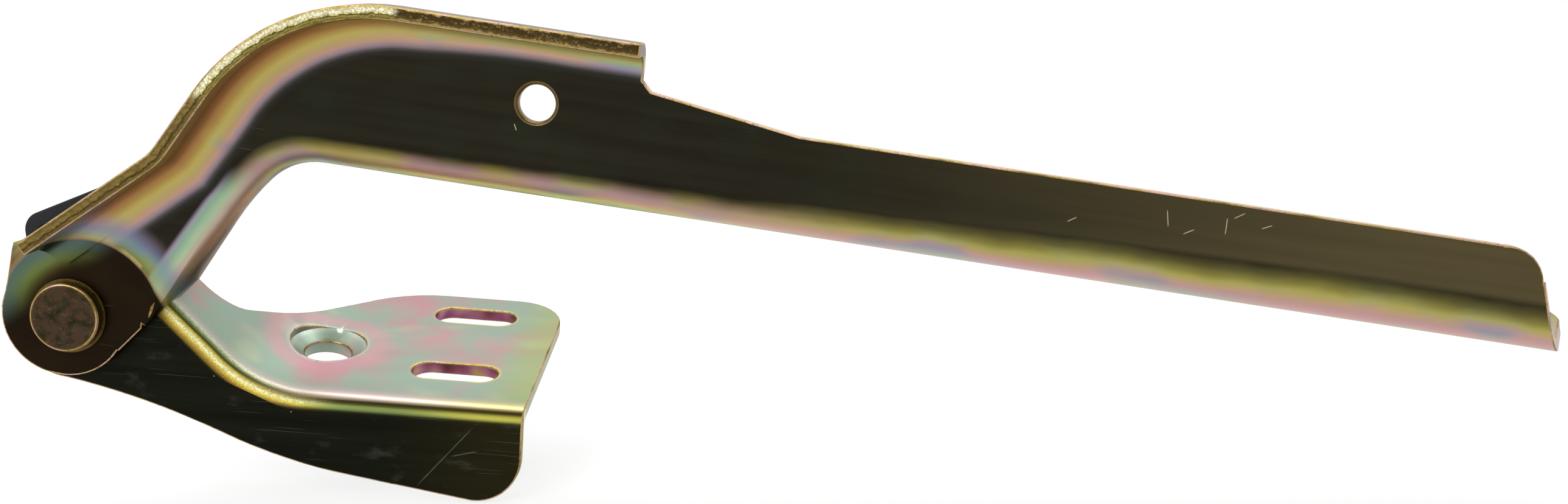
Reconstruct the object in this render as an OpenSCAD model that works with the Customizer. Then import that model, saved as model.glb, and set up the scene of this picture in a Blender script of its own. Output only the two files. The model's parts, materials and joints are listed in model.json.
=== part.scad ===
// Hood hinge: a pressed gooseneck arm that swings on a rivet in a pressed body bracket.
// +X runs from the pivot towards the arm's tip, +Y goes in behind the pressings, +Z is up.
// The origin is the underside of the bracket's plate, midway between its two slots.
// The hinge is drawn closed, the way it sits with the hood down.

/* [Sheet] */
// Thickness of the steel that both pressings are made from
sheet_t = 3.2; // [2.8:0.1:3.6]
// Inside radius of the arm's two long bends
arm_bend_r = 5.6; // [4:0.2:7]
// Inside radius of the bracket's bend
bracket_bend_r = 1.8; // [1.2:0.2:3]
// Angle by which the hood flange and the body plate lean up from square
flange_cant = 12; // [6:1:15]

/* [Arm] */
// Angle by which the closed arm drops towards its tip
arm_rake = 8.5; // [6:0.5:12]
// Height of the gooseneck's top face above the pivot
crown_rise = 83.6; // [80:0.2:88]
// Height of the hood flange's lower face above the pivot
hood_rise = 43.9; // [41:0.1:47]
// Height of the arm's plain web behind the gooseneck
tail_web_h = 23.5; // [21:0.5:26]
// Distance from the pivot to the tip, along the lower face
arm_reach = 340; // [320:0.5:360]
// Slant of the cut across the arm's tip, seen from the front
tip_slant = 20.5; // [12:0.5:28]
// Slant of that cut seen from above
tip_lean = 25; // [15:0.5:32]
// Rounding of the tip's upper corner
tip_corner_r = 9; // [5:0.5:12]
// Distance that the stiffening flange stands in front of the web
crown_flange = 12; // [9.5:0.5:16]
// Distance from the pivot to the end of the stiffening flange
crown_end = 126; // [120:0.5:140]
// Distance that the hood flange reaches behind the web's front face
hood_flange = 30; // [27:0.5:36]
// Rounding of the hood flange's far corner at the tip
flange_corner_r = 8; // [4:0.5:10]

/* [Gooseneck] */
// Radius of the outer curve
outer_r = 49; // [44:0.5:54]
// Turn of the outer curve
outer_turn = 61; // [57:0.5:65]
// Distance from the pivot to where the outer curve starts
outer_start = 72; // [68:0.5:76]
// Straight below the outer curve
outer_straight = 15.2; // [12:0.2:18]
// Radius of the return curve
return_r = 12; // [8:0.5:18]
// Turn of the return curve
return_turn = 19.5; // [15:0.5:22]
// Straight run of the stiffening flange down to the pivot pad
crown_tail = 35.6; // [35:0.5:39]
// Angle at which the end of that flange slopes away beside the pad
crown_slope = 36; // [25:1:45]
// Radius of the tight inner curve
inner_r = 16; // [12:0.5:20]
// Turn of the tight inner curve
inner_turn = 50; // [46:0.5:54]
// Distance from the pivot to where the tight inner curve ends
inner_end = 54.5; // [51:0.5:58]
// Radius of the long inner curve
throat_r = 60; // [50:1:75]
// Turn of the long inner curve
throat_turn = 13; // [10:0.5:15]
// Straight of the hood flange below the long inner curve
throat_straight = 17; // [14:0.5:18]

/* [Pivot pad] */
// Depth by which the pad is pressed back from the web
pad_set = 2; // [1.2:0.1:2.4]
// Width of the slope between the pad's step and the web
pad_slope = 5; // [3:0.5:7]
// Radius of the pressed step round the pad
pad_r = 15.8; // [15:0.1:17]
// Distance of the step's centre towards the gooseneck
pad_shift = 3.1; // [2:0.1:4]
// Radius of the arm's rounded end
lobe_r = 14.6; // [13.5:0.1:15.4]
// Radius of the bracket's rounded end
ear_r = 16.4; // [15.8:0.1:17.4]
// Distance by which both rounded ends are centred behind the pivot
lobe_shift = 1.1; // [0:0.1:2.5]

/* [Arm holes] */
// Diameter of the round hole in the web
web_hole_d = 8.5; // [7:0.1:10]
// Diameter of that hole's broken-out front lip
web_lip_d = 9.5; // [9.3:0.1:11]
// Depth of the broken-out lip
web_lip_h = 0.8; // [0.4:0.1:1.4]
// Distance of the web hole along the arm
web_hole_x = 103; // [92:1:112]
// Height of the web hole above the pivot
web_hole_z = 66; // [62:0.5:70]
// Diameter of the two hood bolt holes
hood_hole_d = 9; // [7:0.1:10]
// Distance of the first hood bolt hole along the arm
hood_hole_x = 205; // [170:1:230]
// Distance between the hood bolt holes
hood_pitch = 90; // [60:1:110]
// Depth of the hood bolt holes behind the web's front face
hood_hole_y = 19.5; // [18:0.5:22]

/* [Bracket] */
// Angle by which the bracket drops towards its far end
bracket_rake = 4; // [0:0.5:7]
// Distance from the pivot to the bracket's end
bracket_reach = 106.8; // [101:0.1:112]
// Distance of the plate's top face below the pivot
plate_drop = 15.8; // [15:0.1:17]
// Radius of the curve that carries the bend up to the pivot
saddle_r = 30; // [26:0.5:34]
// Turn of that curve
saddle_turn = 43; // [40:0.5:46]
// Distance from the pivot to where that curve starts
saddle_start = 54.4; // [52:0.2:57]
// Straight run of the bend beside the pivot
cheek_straight = 27; // [22:0.5:29]
// Depth of the narrow flange beside the pivot
cheek_flange = 17.2; // [14:0.5:19]
// Depth of the plate behind the bracket's front face
plate_depth = 63.3; // [58:0.5:68]
// Where the plate starts to widen, measured from the pivot
plate_neck = 30; // [25:0.5:32]
// Angle of the widening edge
plate_flare = 60; // [54:1:66]
// Radius that blends the widening edge into the far edge
plate_blend_r = 30; // [24:1:36]
// Rounding of the plate's far corner
plate_corner_r = 13; // [8:0.5:16]
// Height of the bracket's web at its end
web_drop = 39.2; // [36:0.2:44]
// Rounding of the web's lower corner
web_corner_r = 11; // [7:0.5:13]

/* [Bracket holes] */
// Width of the two bolt slots
slot_w = 9; // [7:0.1:10.5]
// Length of the two bolt slots
slot_l = 21.4; // [14:0.5:26]
// Distance of the far slot from the pivot
slot_x = 84.3; // [80:0.1:88]
// Distance by which the near slot is further out than the far one
slot_step = 1.9; // [0:0.1:3]
// Distance from the bend to the near slot
slot_near = 15.5; // [12:0.1:18]
// Distance between the slots
slot_pitch = 33; // [26:0.5:38]
// Diameter of the locating hole
dimple_d = 11.6; // [9:0.1:12.5]
// Outer diameter of the dish pressed round it
dish_d = 18.6; // [17:0.2:20]
// Depth of the dish
dish_h = 2.2; // [1.4:0.1:2.6]
// Turn that the plate has begun at the locating hole
dimple_turn = 6; // [2:0.5:10]
// Distance of the locating hole from the bend
dimple_y = 25; // [23:0.2:27]

/* [Rivet] */
// Diameter of the rivet's head
head_d = 16.4; // [15.4:0.1:17.2]
// Height of the rivet's head
head_h = 2.5; // [1.8:0.1:3.2]
// Bevel round the head's face
head_bevel = 0.4; // [0.2:0.1:0.7]
// Diameter of the shank that the arm turns on
shank_d = 10; // [9:0.1:10.6]
// Diameter of the tail that holds the bracket
tail_d = 8; // [7:0.1:8.4]
// Diameter of the formed head behind
formed_d = 13; // [11.5:0.1:14.5]
// Height of the formed head
formed_h = 2.6; // [1.8:0.1:3.4]
// Gap round the shank in its bush
shank_gap = 0.05; // [0.02:0.01:0.1]
// End play of the arm on the rivet, at each side
side_play = 0.1; // [0.05:0.05:0.2]

/* [Bush and washer] */
// Wall of the bush
bush_wall = 1; // [0.8:0.1:1.4]
// Outer diameter of the bush's collar
collar_d = 17.6; // [17.4:0.1:19]
// Thickness of the bush's collar
collar_t = 0.8; // [0.5:0.1:1]
// Outer diameter of the washer between arm and bracket
washer_d = 22; // [19:0.5:24]
// Thickness of the washer
washer_t = 0.7; // [0.5:0.1:1.2]

/* [Open stop] */
// Thickness of the stop strap
strap_t = 3.4; // [2.8:0.1:3.6]
// Depth of the strap behind the bracket
strap_w = 7; // [5:0.5:9]
// Radius of the stop's eye round the rivet
eye_r = 11.6; // [11:0.1:13]
// Thickness of the eye
eye_t = 3; // [2:0.1:3.5]
// Slope of the strap's upper leg
strap_slope = 21.3; // [18:0.5:25]
// Length of the strap's upper leg
strap_leg = 19.5; // [16:0.5:21]
// Length of the strap's leg that rises from the eye
strap_post = 20; // [17:0.5:22]
// Lean of that leg from upright
strap_lean = 5; // [2:0.5:8]
// Outer radius of the strap's corner
strap_corner_r = 4.5; // [4.2:0.1:6]
// Height of the strap's corner above the pivot
strap_rise = 21.8; // [20.5:0.1:23]
// Distance of the strap's corner behind the pivot
strap_back = 13; // [12.4:0.1:14]

/* [Hidden] */
$fn = 96;
cut = 60;                       // size by which a cutter runs past what it cuts
skim = 0.05;                    // overlap where a cut would only touch a round end
part_gap = 1.2;                 // gap between the arm's lower bend and the bracket
root_r = 12;                    // rounding where the narrow flange starts to widen
pad_lap = 1.6;                  // metal kept round the pad behind its step
relief_r = 2.3;                 // rounding of the notch where the stiffening flange ends
shoulder_run = 37;              // length of the shoulder from the notch to the plain web
shoulder_h = 5;                 // height of the shoulder at the notch
web_leave = 9.5;                // slope of the bracket's lower edge where it leaves the ear
web_dip = 22;                   // steepest slope of that edge
web_rise = 7.5;                 // slope of that edge at the bracket's end
sag_r = 185;                    // radius of its hollow part
lift_r = 127;                   // radius of its full part

// Depths behind the arm web's front face
arm_ro = arm_bend_r + sheet_t;
bracket_ro = bracket_bend_r + sheet_t;
web_strip = arm_ro * 1.3;       // width of web that is swept along with each of the arm's bends
lap = arm_ro * 1.1;             // how far the flat web stays off the outside of those bends
pad_back = pad_set + sheet_t;
ear_front = pad_back + side_play + washer_t;
ear_back = ear_front + sheet_t;
head_seat = pad_set - collar_t - side_play;
eye_back = ear_back + eye_t;

// Underside of the plate midway between the slots, seen in the bracket's own axes
plate_mid = slot_near + slot_pitch / 2;
ref_depth = ear_front + bracket_ro - bracket_bend_r * sin(flange_cant) + plate_mid * cos(flange_cant);
ref_rise = -plate_drop - bracket_ro + bracket_bend_r * cos(flange_cant) + plate_mid * sin(flange_cant);
slot_mid = slot_x + slot_step / 2;
ref_x = slot_mid * cos(bracket_rake) + ref_rise * sin(bracket_rake);
ref_z = -slot_mid * sin(bracket_rake) + ref_rise * cos(bracket_rake);

// A run is a list of [length, 0] straights and [radius, turn] curves, with the steel on its left
crown_run = [[crown_end - outer_start, 0], [outer_r, outer_turn], [outer_straight, 0],
             [return_r, -return_turn], [crown_tail, 0]];
neck_heading = 180 + outer_turn;
tail_heading = neck_heading - return_turn;
neck_foot = [outer_start, crown_rise] - outer_r * [sin(outer_turn), 1 - cos(outer_turn)]
          + outer_straight * dir(neck_heading);
tail_end = neck_foot + return_r * (dir(neck_heading - 90) + dir(tail_heading + 90))
         + crown_tail * dir(tail_heading);
throat_heading = throat_turn + inner_turn;
throat_start = [inner_end, hood_rise] - chord(inner_r, 0, inner_turn)
             - chord(throat_r, inner_turn, throat_turn);
hood_run = [[throat_straight, 0], [throat_r, -throat_turn], [inner_r, -inner_turn],
            [arm_reach - inner_end + cut / 2, 0]];
nose = lobe_r;                  // length of bend kept below the hood flange
nose_run = concat([[throat_straight + nose, 0]], [for (i = [1:3]) hood_run[i]]);
saddle_run = [[bracket_reach - saddle_start, 0], [saddle_r, -saddle_turn], [cheek_straight, 0]];

// The lower left edge of the arm touches its rounded end and passes the hood flange's foot
throat_foot = throat_start - throat_straight * dir(throat_heading);
lobe_at = [-lobe_shift * cos(arm_rake), -lobe_shift * sin(arm_rake)];
foot_gap = throat_foot - lobe_at;
edge_heading = atan2(foot_gap[1], foot_gap[0]) + asin(lobe_r / norm(foot_gap));

function dir(a) = [cos(a), sin(a)];
// Step along a curve that comes down from heading h + turn to heading h
function chord(r, h, turn) = r * [sin(h + turn) - sin(h), cos(h) - cos(h + turn)];
function arc_points(c, r, a0, a1, n = 8) = [for (i = [0:n]) c + r * dir(a0 + (a1 - a0) * i / n)];

// Matrices are kept to six figures, which would leave hair cracks between the pieces of a long sweep.
// So a turn is split in two whose rounded sines and cosines keep the size, each with its rounding made good.
function six(x) = x == 0 ? 0 : let (k = pow(10, 5 - floor(log(abs(x))))) round(x * k) / k;
function growth(a) = pow(six(sin(a)), 2) + pow(six(cos(a)), 2) - 1;
function split(a) = let (
    tries = [for (k = [0:4000]) a / 2 + k / 100],
    off = [for (b = tries) abs(growth(b) + growth(a - b))],
    best = min(off)) [for (i = [0:len(tries) - 1]) if (off[i] == best) tries[i]][0];

module turned(a) {
    b = split(a);
    true_turn(b) true_turn(a - b) children();
}

module true_turn(a) {
    rotate([0, 0, a]) rotate([0, 0, a - atan2(six(sin(a)), six(cos(a)))]) children();
}

// Sweeps the section given as child along a run that leaves the origin in the direction of +X
module sweep(run, i = 0) {
    if (i < len(run)) {
        size = run[i][0];
        turn = run[i][1];
        side = turn > 0 ? 1 : -1;
        if (turn == 0) {
            rotate([90, 0, 90]) linear_extrude(size) children();
            translate([size, 0, 0]) sweep(run, i + 1) children();
        } else {
            translate([0, side * size, 0]) {
                rotate([0, 0, -90 * side]) rotate_extrude(angle = turn)
                    translate([size, 0]) mirror([turn > 0 ? 1 : 0, 0]) children();
                turned(turn) translate([0, -side * size, 0]) sweep(run, i + 1) children();
            }
        }
    }
}

// Section of a bend, with its web along x from the bend inwards
module bend_section(ri, cant, web) {
    ro = ri + sheet_t;
    translate([ro, ro]) intersection() {
        difference() {
            circle(ro);
            circle(ri);
        }
        translate([-2 * ro, -2 * ro]) square([2 * ro, 4 * ro]);
        turned(-cant) translate([-2 * ro, -2 * ro]) square([4 * ro, 2 * ro]);
    }
    translate([ro, 0]) square([web - ro, sheet_t]);
}

// Section of the flange that leaves such a bend
module flange_section(ri, cant, reach) {
    ro = ri + sheet_t;
    translate([ro, ro]) turned(-cant) translate([-ro, 0])
        square([sheet_t, (reach - ro) / cos(cant) - ri * tan(cant)]);
}

// Stands a drawing made in the plane of the web upright, and places it in the part's frame
module stand(rake) {
    translate([-ref_x, -ref_depth, -ref_z]) rotate([0, rake, 0]) rotate([90, 0, 0]) children();
}

// Web of the arm between its swept edges, with the rounded end at the pivot, drawn flat
module arm_flat() {
    edge_mid = throat_foot - (nose + arm_ro) * dir(throat_heading);
    tail_top = hood_rise + tail_web_h;
    keel = hood_rise + lap;
    crown = arc_points([outer_start, crown_rise - outer_r], outer_r - lap, 90 + outer_turn, 90);
    throat = arc_points([inner_end, hood_rise - inner_r], inner_r + lap, 90, 90 + inner_turn, 4);
    difference() {
        polygon(concat([lobe_at, [-lobe_r - lobe_shift, 0], [lobe_shift - lobe_r, lobe_r + lobe_shift],
                        tail_end, tail_end + lap * dir(tail_heading + 90) - lobe_r * dir(tail_heading),
                        neck_foot + lap * dir(neck_heading + 90)],
                       crown, [[crown_end - arm_ro, crown_rise - lap], [crown_end - arm_ro, keel]],
                       throat, [throat_start + lap * dir(throat_heading + 90),
                                throat_foot + lap * dir(throat_heading + 90), edge_mid]));
        lower_edge();
    }
    translate(lobe_at) circle(lobe_r);
    // plain web behind the gooseneck, with its shoulder and the notch where the stiffening flange has ended
    foot = crown_end - arm_ro * 2;
    difference() {
        polygon([[foot, keel], [foot, crown_rise - lap], [crown_end, crown_rise - lap],
                 [crown_end, tail_top + shoulder_h + relief_r], [crown_end + relief_r, tail_top + shoulder_h],
                 [crown_end + shoulder_run, tail_top], [arm_reach + cut / 2, tail_top],
                 [arm_reach + cut / 2, keel]]);
        translate([crown_end + relief_r, crown_rise - arm_ro + relief_r / 2]) circle(relief_r);
    }
}

// Side of the straight cut from the arm's rounded end to the foot of the hood flange
module lower_edge() {
    edge_l = sqrt(pow(norm(foot_gap), 2) - pow(lobe_r, 2));
    translate(lobe_at) rotate(edge_heading) translate([-cut, -lobe_r - cut + skim])
        square([cut + edge_l, cut]);
}

// Dish whose floor sets the pivot pad back, grown by a margin and drawn down to a depth
module pad_dish(grow, floor_z, rim_z) {
    translate([pad_shift, 0, floor_z])
        cylinder(h = rim_z - floor_z, r1 = pad_r + grow, r2 = pad_r + grow + pad_slope);
}

module hinge_arm() {
    color("#8f8450") difference() {
        arm_pressing();
        bracket_room();
    }
}

// Room that the arm's lower bend leaves for the bracket's ear and for the flange beside it
module bracket_room() {
    stand(bracket_rake) translate([0, 0, -cut]) linear_extrude(cut - pad_back - side_play) {
        circle(ear_r + lobe_shift + part_gap);
        translate(saddle_end()) rotate(180 - saddle_turn) translate([0, -part_gap])
            square([cheek_straight + part_gap, cheek_straight]);
    }
}

module arm_pressing() {
    stand(arm_rake) difference() {
        union() {
            difference() {
                union() {
                    // stiffening flange and the web along it
                    difference() {
                        translate([crown_end, crown_rise, 0]) rotate([0, 0, 180])
                            sweep(crown_run) translate([0, -sheet_t]) {
                                bend_section(arm_bend_r, 0, web_strip);
                                flange_section(arm_bend_r, 0, crown_flange + sheet_t);
                            }
                        // its sloping end beside the pivot pad
                        translate([-lobe_r, 0, -sheet_t - 1]) rotate([0, -crown_slope, 0])
                            translate([-cut, -cut, -cut]) cube([cut, 3 * cut, 2 * cut]);
                    }
                    // bend above the hood flange and the web along it
                    difference() {
                        from_throat() translate([-nose, 0, 0]) sweep(nose_run)
                            mirror([0, 1]) bend_section(arm_bend_r, flange_cant, web_strip);
                        translate([0, 0, -cut]) linear_extrude(2 * cut) lower_edge();
                    }
                    translate([0, 0, -sheet_t]) linear_extrude(sheet_t) arm_flat();
                }
                // front of the pivot pad
                pad_dish(0, -pad_set, 0);
            }
            from_throat() sweep(hood_run)
                mirror([0, 1]) flange_section(arm_bend_r, flange_cant, hood_flange);
            // pad pressed back towards the bracket
            intersection() {
                translate([0, 0, -pad_back]) linear_extrude(pad_back - pad_set) arm_flat();
                union() {
                    pad_dish(pad_lap, -pad_back, -sheet_t);
                    translate([0, 0, -pad_back]) cylinder(h = sheet_t, r = pad_r);
                }
            }
        }
        tip_cutter();
        // seat of the bush
        translate([0, 0, -pad_back - 1]) cylinder(h = cut, d = shank_d + 2 * (shank_gap + bush_wall));
        // web hole, with the lip that the punch broke out
        translate([web_hole_x, web_hole_z, -sheet_t - 1]) {
            cylinder(h = sheet_t + 2, d = web_hole_d);
            translate([0, 0, sheet_t + 1 - web_lip_h])
                cylinder(h = web_lip_h + 1, d1 = web_hole_d, d2 = web_lip_d + web_lip_d / 8);
        }
        for (i = [0, 1])
            hood_axis(hood_hole_x + i * hood_pitch, hood_hole_y)
                translate([0, 0, -cut / 4]) cylinder(h = cut / 2, d = hood_hole_d);
    }
}

module from_throat() {
    translate([throat_foot[0], throat_foot[1], 0]) turned(throat_heading) children();
}

// Stands on the hood flange's top face, at a distance along it and a depth behind the web's front
module hood_axis(x, depth) {
    translate([x, hood_rise + arm_ro, -arm_ro]) rotate([flange_cant, 0, 0])
        translate([0, -arm_bend_r, (arm_ro - depth) / cos(flange_cant) + arm_bend_r * tan(flange_cant)])
        rotate([-90, 0, 0]) children();
}

// Trims the arm's tip with one slanted cut and rounds two of its corners
module tip_cutter() {
    top = hood_rise + tail_web_h;
    back = tan(tip_slant) * tail_web_h;
    c = [arm_reach - back - tip_corner_r * tan(45 - tip_slant / 2), top - tip_corner_r];
    translate([arm_reach, hood_rise, 0]) rotate([0, 0, tip_slant]) rotate([0, -tip_lean, 0])
        translate([0, -cut, -cut]) cube(2 * cut);
    translate([0, 0, -arm_ro]) linear_extrude(2 * arm_ro) difference() {
        translate(c) rotate(tip_slant / 2) square(2 * tip_corner_r);
        translate(c) circle(tip_corner_r);
    }
    far = [arm_reach + tan(tip_lean) * (hood_flange - flange_corner_r) / cos(tip_slant)
           - flange_corner_r * tan(45 + tip_lean / 2) / 1.2, hood_flange - flange_corner_r];
    translate([0, hood_rise + cut / 2, 0]) rotate([90, 0, 0]) linear_extrude(cut)
        mirror([0, 1]) translate(far) difference() {
            rotate(-tip_lean / 2) square(3 * flange_corner_r);
            circle(flange_corner_r);
        }
}

// Outline of the bracket's web, drawn flat
module bracket_web() {
    ear_at = [-lobe_shift, 0];
    start = ear_at + (ear_r - skim) * dir(-90 - web_leave);
    sag = arc_points(start - sag_r * dir(90 - web_leave), sag_r, 90 - web_leave, 90 - web_dip);
    turn_at = sag[len(sag) - 1];
    lift = arc_points(turn_at + lift_r * dir(90 - web_dip), lift_r, -90 - web_dip, -90 - web_rise);
    corner = [bracket_reach - web_corner_r, -web_drop + web_corner_r];
    low = -plate_drop - bracket_ro * 1.2;
    cheek_lap = bracket_ro * 1.2 * dir(90 - saddle_turn);
    translate(ear_at) circle(ear_r);
    difference() {
        polygon(concat([ear_at, start], sag, lift,
            [corner + web_corner_r * [1, -tan(45 + web_rise / 2)],
             [bracket_reach, low], [saddle_start, low], saddle_end() - cheek_lap,
             saddle_end() + cheek_straight * dir(180 - saddle_turn) - cheek_lap]));
        translate(corner) difference() {
            polygon([[0, 0], 2 * web_corner_r * dir(-90 - web_rise), 2 * web_corner_r * dir(-45),
                     [2 * web_corner_r, 0]]);
            circle(web_corner_r);
        }
    }
}

function saddle_end() = [saddle_start, -plate_drop] + saddle_r * [-sin(saddle_turn), 1 - cos(saddle_turn)];

// Outline of the plate seen from above, depth measured from the bracket's front face
module plate_plan() {
    flare_h = plate_depth - plate_blend_r * (1 - cos(plate_flare));
    flare_x = plate_neck + (flare_h - cheek_flange) / tan(plate_flare);
    blend = arc_points([flare_x + plate_blend_r * sin(plate_flare), plate_depth - plate_blend_r],
                       plate_blend_r, 90 + plate_flare, 90);
    far = arc_points([bracket_reach - plate_corner_r, plate_depth - plate_corner_r], plate_corner_r, 90, 0);
    root = arc_points([plate_neck - root_r * tan(plate_flare / 2), cheek_flange + root_r],
                      root_r, -90, plate_flare - 90);
    polygon(concat([[-cut, -1], [-cut, cheek_flange]], root, blend, far, [[bracket_reach, -1]]));
}

module slot(w, l) {
    translate([-(l - w) / 2, 0]) circle(d = w);
    translate([(l - w) / 2, 0]) circle(d = w);
    square([l - w, w], center = true);
}

module body_bracket() {
    color("#b9a58a") stand(bracket_rake) translate([0, 0, -ear_front]) difference() {
        union() {
            intersection() {
                translate([bracket_reach, -plate_drop, 0]) rotate([0, 0, 180])
                    sweep(saddle_run) mirror([0, 1]) {
                        bend_section(bracket_bend_r, -flange_cant, bracket_ro * 1.6);
                        flange_section(bracket_bend_r, -flange_cant, plate_depth + bracket_ro);
                    }
                translate([0, cut, 0]) rotate([90, 0, 0]) linear_extrude(3 * cut)
                    mirror([0, 1]) plate_plan();
            }
            translate([0, 0, -sheet_t]) linear_extrude(sheet_t) bracket_web();
            // metal that the dish pushes out below
            dimple_axis() translate([0, 0, -sheet_t - dish_h])
                cylinder(h = sheet_t + dish_h - skim, d1 = dimple_d + sheet_t, d2 = dish_d + 2 * sheet_t);
        }
        for (i = [0, 1])
            plate_axis(slot_x + (1 - i) * slot_step, slot_near + i * slot_pitch)
                translate([0, 0, -cut / 4]) linear_extrude(cut / 2) slot(slot_w, slot_l);
        dimple_axis() {
            translate([0, 0, -cut / 4]) cylinder(h = cut / 2, d = dimple_d);
            translate([0, 0, -dish_h]) cylinder(h = dish_h, d1 = dimple_d, d2 = dish_d);
            cylinder(h = cut / 4, d = dish_d);
        }
        translate([0, 0, -cut / 2]) cylinder(h = cut, d = tail_d);
    }
}

// Stands on the plate's top face, at a distance from the pivot and from the bend
module plate_axis(x, along) {
    translate([x, -plate_drop - bracket_ro, -bracket_ro]) rotate([flange_cant, 0, 0])
        translate([0, bracket_ro, -along]) rotate([-90, 0, 0]) children();
}

// Stands on the plate's top face at the locating hole, where the plate has begun to curve up
module dimple_axis() {
    curve_z = saddle_r - plate_drop;
    translate([saddle_start, curve_z, 0]) rotate([0, 0, -dimple_turn]) translate([-saddle_start, -curve_z, 0])
        plate_axis(saddle_start, dimple_y) children();
}

module pivot_rivet() {
    color("#6f6650") stand(0) translate([0, 0, -head_seat]) {
        cylinder(h = head_h - head_bevel, d = head_d);
        translate([0, 0, head_h - head_bevel])
            cylinder(h = head_bevel, d1 = head_d, d2 = head_d - 2 * head_bevel);
        translate([0, 0, head_seat - ear_front]) cylinder(h = ear_front - head_seat, d = shank_d);
        translate([0, 0, head_seat - eye_back]) cylinder(h = eye_back - ear_front, d = tail_d);
        translate([0, 0, head_seat - eye_back - formed_h])
            cylinder(h = formed_h, d1 = formed_d - 2 * formed_h, d2 = formed_d);
    }
}

module pivot_bush() {
    bore = shank_d + 2 * shank_gap;
    color("#a5793a") stand(0) difference() {
        union() {
            translate([0, 0, -pad_set]) cylinder(h = collar_t, d = collar_d);
            translate([0, 0, -pad_back]) cylinder(h = sheet_t, d = bore + 2 * bush_wall);
        }
        translate([0, 0, -pad_back - 1]) cylinder(h = cut, d = bore);
    }
}

module friction_washer() {
    color("#7d7f82") stand(0) translate([0, 0, -ear_front]) difference() {
        cylinder(h = washer_t, d = washer_d);
        translate([0, 0, -1]) cylinder(h = washer_t + 2, d = shank_d);
    }
}

module open_stop() {
    corner = [-strap_back, strap_rise];
    turn = 90 - strap_slope + strap_lean;
    setback = strap_corner_r * tan(turn / 2);
    run = [[strap_leg, 0], [strap_corner_r, turn], [strap_post - setback, 0]];
    color("#2b2b2e") stand(0) translate([0, 0, -ear_back]) difference() {
        union() {
            translate([corner[0] + (strap_leg + setback) * cos(strap_slope),
                       corner[1] + (strap_leg + setback) * sin(strap_slope), 0])
                turned(180 + strap_slope) sweep(run) mirror([0, 1]) square([strap_t, strap_w]);
            translate([0, 0, -eye_t]) cylinder(h = eye_t, r = eye_r);
        }
        translate([0, 0, -eye_t - 1]) cylinder(h = eye_t + 2, d = tail_d);
    }
}

hinge_arm();
body_bracket();
pivot_rivet();
pivot_bush();
friction_washer();
open_stop();
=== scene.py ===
# %% [markdown]
# # Hood hinge
# A pressed steel hinge for a vehicle's hood: a gooseneck arm that turns on a
# rivet in a slotted body bracket. The shapes come from the imported CAD model,
# and this lesson gives them their finish: yellow zinc plate, whose thin
# chromate film shows gold, pink and teal where the sheet is bent. The light
# on it is painted into the colour: painted bright reflections on the bends and
# a painted dark reflection on the flat sheet.

# %% Load the imported model
import json
import math

import bmesh
import bpy
from mathutils import Matrix, Vector


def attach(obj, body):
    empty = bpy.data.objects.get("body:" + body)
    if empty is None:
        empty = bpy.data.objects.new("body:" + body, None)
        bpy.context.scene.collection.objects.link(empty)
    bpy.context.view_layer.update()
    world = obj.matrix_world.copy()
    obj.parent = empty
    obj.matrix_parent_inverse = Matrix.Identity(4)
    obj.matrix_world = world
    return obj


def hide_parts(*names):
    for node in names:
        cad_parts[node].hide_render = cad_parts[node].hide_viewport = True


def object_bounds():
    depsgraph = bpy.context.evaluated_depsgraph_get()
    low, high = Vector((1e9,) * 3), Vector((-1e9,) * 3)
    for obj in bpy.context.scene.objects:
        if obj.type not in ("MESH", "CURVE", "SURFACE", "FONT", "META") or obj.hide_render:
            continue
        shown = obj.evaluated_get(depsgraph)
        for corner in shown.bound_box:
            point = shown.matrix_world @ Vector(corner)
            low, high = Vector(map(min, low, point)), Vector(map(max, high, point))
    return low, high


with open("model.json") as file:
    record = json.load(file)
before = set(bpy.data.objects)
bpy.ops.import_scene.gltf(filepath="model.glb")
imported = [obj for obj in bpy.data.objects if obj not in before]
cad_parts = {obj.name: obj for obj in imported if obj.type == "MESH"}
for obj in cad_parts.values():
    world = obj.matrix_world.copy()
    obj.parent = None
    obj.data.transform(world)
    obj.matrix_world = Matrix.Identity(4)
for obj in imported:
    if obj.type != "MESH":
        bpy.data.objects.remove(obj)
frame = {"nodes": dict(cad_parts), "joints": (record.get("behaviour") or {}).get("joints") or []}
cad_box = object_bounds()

pivot = Vector(frame["joints"][0]["pos_m"])
print("pivot", tuple(round(value, 4) for value in pivot))
print("nodes", sorted(frame["nodes"]))

# %% [markdown]
# ## Camera
# The photograph looks at the hinge nearly square on, from a little above. The
# camera could be aimed by a constraint, but its place and its three axes were
# worked out from the photograph, so they are written straight into its matrix.

# %% Camera at the photograph's angle
camera_data = bpy.data.cameras.new("photo_camera")
camera_data.sensor_width = 36.0
camera_data.lens = 39.13
camera_data.clip_end = 50.0
camera = bpy.data.objects.new("photo_camera", camera_data)
bpy.context.scene.collection.objects.link(camera)
camera_right = Vector((0.999391, 0.034899, 0.0))
camera_up = Vector((-0.006060, 0.173542, 0.984808))
camera_back = Vector((0.034369, -0.984208, 0.173648))
camera_turn = Matrix((camera_right, camera_up, camera_back)).transposed()
camera_place = pivot + Vector((0.18096, -0.38275, 0.08389))
camera.matrix_world = Matrix.Translation(camera_place) @ camera_turn.to_4x4()
bpy.context.scene.camera = camera
bpy.context.scene.view_settings.view_transform = "Standard"
print("camera stands", round((camera_place - pivot).length, 3), "m from the pivot")

# %% [markdown]
# ## Materials as sums
# Each finish here is a sum of masks: how deep a point lies in a bend, how far
# along the arm it is, and soft clouds of noise. Nodes could be placed one by
# one, but sums read better, so a small class lets plus, minus and times write
# the Math nodes. Every other node goes through one method, put.


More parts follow.
